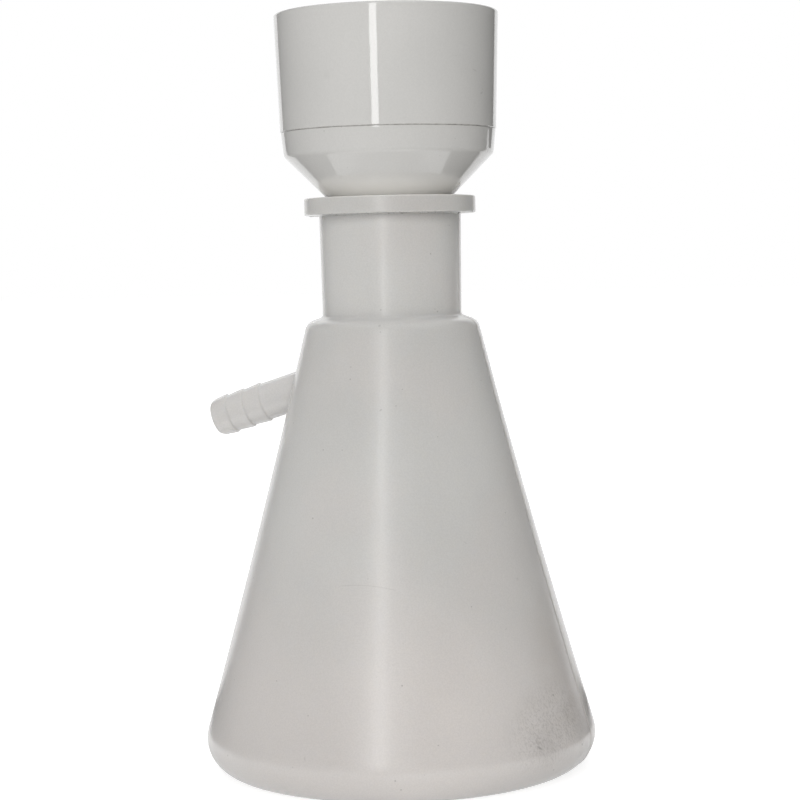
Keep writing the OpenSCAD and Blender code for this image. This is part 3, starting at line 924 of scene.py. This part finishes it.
def build_floor():
    """Pale table. The camera sees it white, with the object's shadow. Reflections see it white in a
    round that the object stands on, straight behind the object, and further off on the right
    flank, with a darker gap elsewhere. All of it goes by the place on the table alone."""
    mat = bpy.data.materials.new("floor")
    mat.use_nodes = True
    tree = mat.node_tree
    tree.nodes.clear()
    out = tree.nodes.new("ShaderNodeOutputMaterial")
    path = tree.nodes.new("ShaderNodeLightPath")
    lit = tree.nodes.new("ShaderNodeBsdfDiffuse")
    lit.inputs["Color"].default_value = (*FLOOR_COLOUR, 1)
    pale = tree.nodes.new("ShaderNodeBsdfDiffuse")
    pale.inputs["Color"].default_value = (0.45, 0.45, 0.45, 1)
    glow = tree.nodes.new("ShaderNodeEmission")
    glow.inputs["Strength"].default_value = FLOOR_GLOW
    seen = tree.nodes.new("ShaderNodeAddShader")
    tree.links.new(pale.outputs[0], seen.inputs[0])
    tree.links.new(glow.outputs[0], seen.inputs[1])
    # the place: away is in metres, behind and beside are cosines
    where = tree.nodes.new("ShaderNodeTexCoord").outputs["Object"]
    length = tree.nodes.new("ShaderNodeVectorMath")
    length.operation = "LENGTH"
    tree.links.new(where, length.inputs[0])
    away = length.outputs["Value"]
    behind = tree_math(tree, "DIVIDE", tree_dot(tree, where, BACK), away)
    far = tree_math(tree, "MULTIPLY", tree_range(tree, away, 0.055, 0.09, 0.72, FLOOR_MIRROR),
                    tree_range(tree, behind, 0.80, 0.86, 0.0, 1.0))
    beside = tree_math(tree, "DIVIDE", tree_dot(tree, where, RIGHT), away)
    gap = tree_range(tree, beside, -0.9, 0.9, FLOOR_GAP, 0.0)
    near = tree_math(tree, "MULTIPLY", tree_range(tree, away, 0.128, 0.136, FLOOR_MIRROR, 0.0),
                     tree_range(tree, away, 0.055, 0.09, 0.72, 1.0))
    flank = tree_math(tree, "MULTIPLY", tree_range(tree, away, 0.30, 0.37, 0.0, FLOOR_MIRROR),
                      tree_range(tree, behind, 0.66, 0.72, 0.0, 1.0))
    flank = tree_math(tree, "MULTIPLY", flank, tree_range(tree, beside, 0.2, 0.4, 0.0, 1.0))
    level = tree_math(tree, "MAXIMUM", tree_math(tree, "MAXIMUM", near, flank),
                      tree_math(tree, "MAXIMUM", far, gap))
    mirror = tree.nodes.new("ShaderNodeEmission")
    tree.links.new(level, mirror.inputs["Strength"])
    reflected = tree_math(tree, "MAXIMUM", path.outputs["Is Glossy Ray"],
                          path.outputs["Is Transmission Ray"])
    bounce = tree.nodes.new("ShaderNodeEmission")
    reach = tree_range(tree, away, 0.055, 0.10, FLOOR_BOUNCE * 0.5, FLOOR_BOUNCE)
    dimmer_right = tree_range(tree, beside, -0.1, 0.9, 1.0, 0.22)
    tree.links.new(tree_math(tree, "MULTIPLY", reach, dimmer_right), bounce.inputs["Strength"])
    lit_too = tree.nodes.new("ShaderNodeAddShader")
    tree.links.new(lit.outputs[0], lit_too.inputs[0])
    tree.links.new(bounce.outputs[0], lit_too.inputs[1])
    rest = shader_mix(tree, reflected, lit_too.outputs[0], mirror.outputs[0])
    tree.links.new(shader_mix(tree, path.outputs["Is Camera Ray"], rest, seen.outputs[0]),
                   out.inputs["Surface"])
    bm = bmesh.new()
    bmesh.ops.create_grid(bm, x_segments=8, y_segments=8, size=9.0)
    mesh = bpy.data.meshes.new("floor")
    bm.to_mesh(mesh)
    bm.free()
    mesh.materials.append(mat)
    obj = bpy.data.objects.new("floor", mesh)
    bpy.context.scene.collection.objects.link(obj)


def build_world():
    """White for the camera. For light and reflections, a white backdrop behind the object and a
    dimmer room at its sides and in front."""
    world = bpy.data.worlds.new("studio")
    bpy.context.scene.world = world
    world.use_nodes = True
    tree = world.node_tree
    tree.nodes.clear()
    out = tree.nodes.new("ShaderNodeOutputWorld")
    path = tree.nodes.new("ShaderNodeLightPath")
    white, room = (tree.nodes.new("ShaderNodeBackground") for _ in range(2))
    for shader in (white, room):
        shader.inputs["Color"].default_value = (1, 1, 1, 1)
    white.inputs["Strength"].default_value = 1.0
    way = tree.nodes.new("ShaderNodeTexCoord").outputs["Generated"]
    up = tree_dot(tree, way, (0, 0, 1))
    flat = tree_math(tree, "SQRT", tree_math(tree, "SUBTRACT", 1.0001, tree_math(tree, "MULTIPLY", up, up)))
    behind = tree_math(tree, "DIVIDE", tree_dot(tree, way, BACK), flat)
    beside = tree_math(tree, "DIVIDE", tree_dot(tree, way, RIGHT), flat)
    mirrored = tree_math(tree, "MAXIMUM", path.outputs["Is Glossy Ray"],
                         path.outputs["Is Transmission Ray"])
    sides = tree_range(tree, beside, -1.0, 1.0,
                       tree_range(tree, mirrored, 0.0, 1.0, ROOM_LEFT, MIRROR_LEFT),
                       tree_range(tree, mirrored, 0.0, 1.0, ROOM_RIGHT, MIRROR_RIGHT))
    sides = tree_math(tree, "MAXIMUM", sides, tree_range(tree, up, 0.55, 0.9, 0.0, ROOM_TOP))
    backdrop = tree_math(tree, "MULTIPLY", tree_range(tree, behind, 0.845, 0.865, 0.0, 1.0),
                         tree_range(tree, up, 0.82, 0.9, 1.0, 0.0))
    bright = tree_range(tree, mirrored, 0.0, 1.0, BACKDROP_LIT, 1.0)
    mixed = tree_math(tree, "ADD", tree_math(tree, "MULTIPLY", backdrop, bright),
                      tree_math(tree, "MULTIPLY", tree_math(tree, "SUBTRACT", 1.0, backdrop), sides))
    tree.links.new(mixed, room.inputs["Strength"])
    tree.links.new(shader_mix(tree, path.outputs["Is Camera Ray"], room.outputs[0], white.outputs[0]),
                   out.inputs["Surface"])


def area_light(name, where, target, size, watts, colour=(1, 1, 1), reflected=True):
    data = bpy.data.lights.new(name, "AREA")
    data.shape = "RECTANGLE"
    data.size, data.size_y = size
    data.energy = watts
    data.color = colour
    obj = bpy.data.objects.new(name, data)
    obj.location = where
    obj.rotation_euler = (Vector(target) - Vector(where)).to_track_quat("-Z", "Y").to_euler()
    obj.visible_camera = False
    obj.visible_glossy = reflected
    bpy.context.scene.collection.objects.link(obj)


# Levels. LIT is what lights the object, MIRROR what its gloss shows, where 1 is white.
FLOOR_COLOUR = (0.72, 0.715, 0.70)
FLOOR_GLOW, FLOOR_BOUNCE, FLOOR_MIRROR, FLOOR_GAP = 0.82, 0.25, 1.0, 0.2
ROOM_LEFT, ROOM_RIGHT, ROOM_TOP = 0.2, 0.10, 0.8
MIRROR_LEFT, MIRROR_RIGHT = 0.2, 0.03
BACKDROP_LIT = 0.4
build_floor()
build_world()
area_light("strip", studio(-12.9, 1.0, 0.47), studio(-12.9, 0, 0.47), (0.122, 0.83), 1.35)
area_light("key", studio(-3, 1.8, 0.75), (0, 0, 0.1), (1.3, 1.1), 15.0, (1.0, 0.985, 0.965), False)
area_light("back", studio(180, 1.9, 1.0), (0, 0, 0.1), (0.9, 0.8), 10, (1.0, 0.99, 0.98), False)

cam_data = bpy.data.cameras.new("camera")
cam_data.sensor_width = 36.0
cam_data.lens = CAMERA_LENS
cam = bpy.data.objects.new("camera", cam_data)
cam.matrix_world = (Matrix.Translation(studio(0, CAMERA_DISTANCE, CAMERA_HEIGHT))
                    @ Matrix.Rotation(CAMERA_AZIMUTH - CAMERA_YAW, 4, "Z")
                    @ Matrix.Rotation(math.pi / 2 - CAMERA_PITCH, 4, "X")
                    @ Matrix.Rotation(-CAMERA_ROLL, 4, "Z"))
bpy.context.scene.collection.objects.link(cam)
bpy.context.scene.camera = cam
bpy.context.scene.view_settings.view_transform = "Standard"
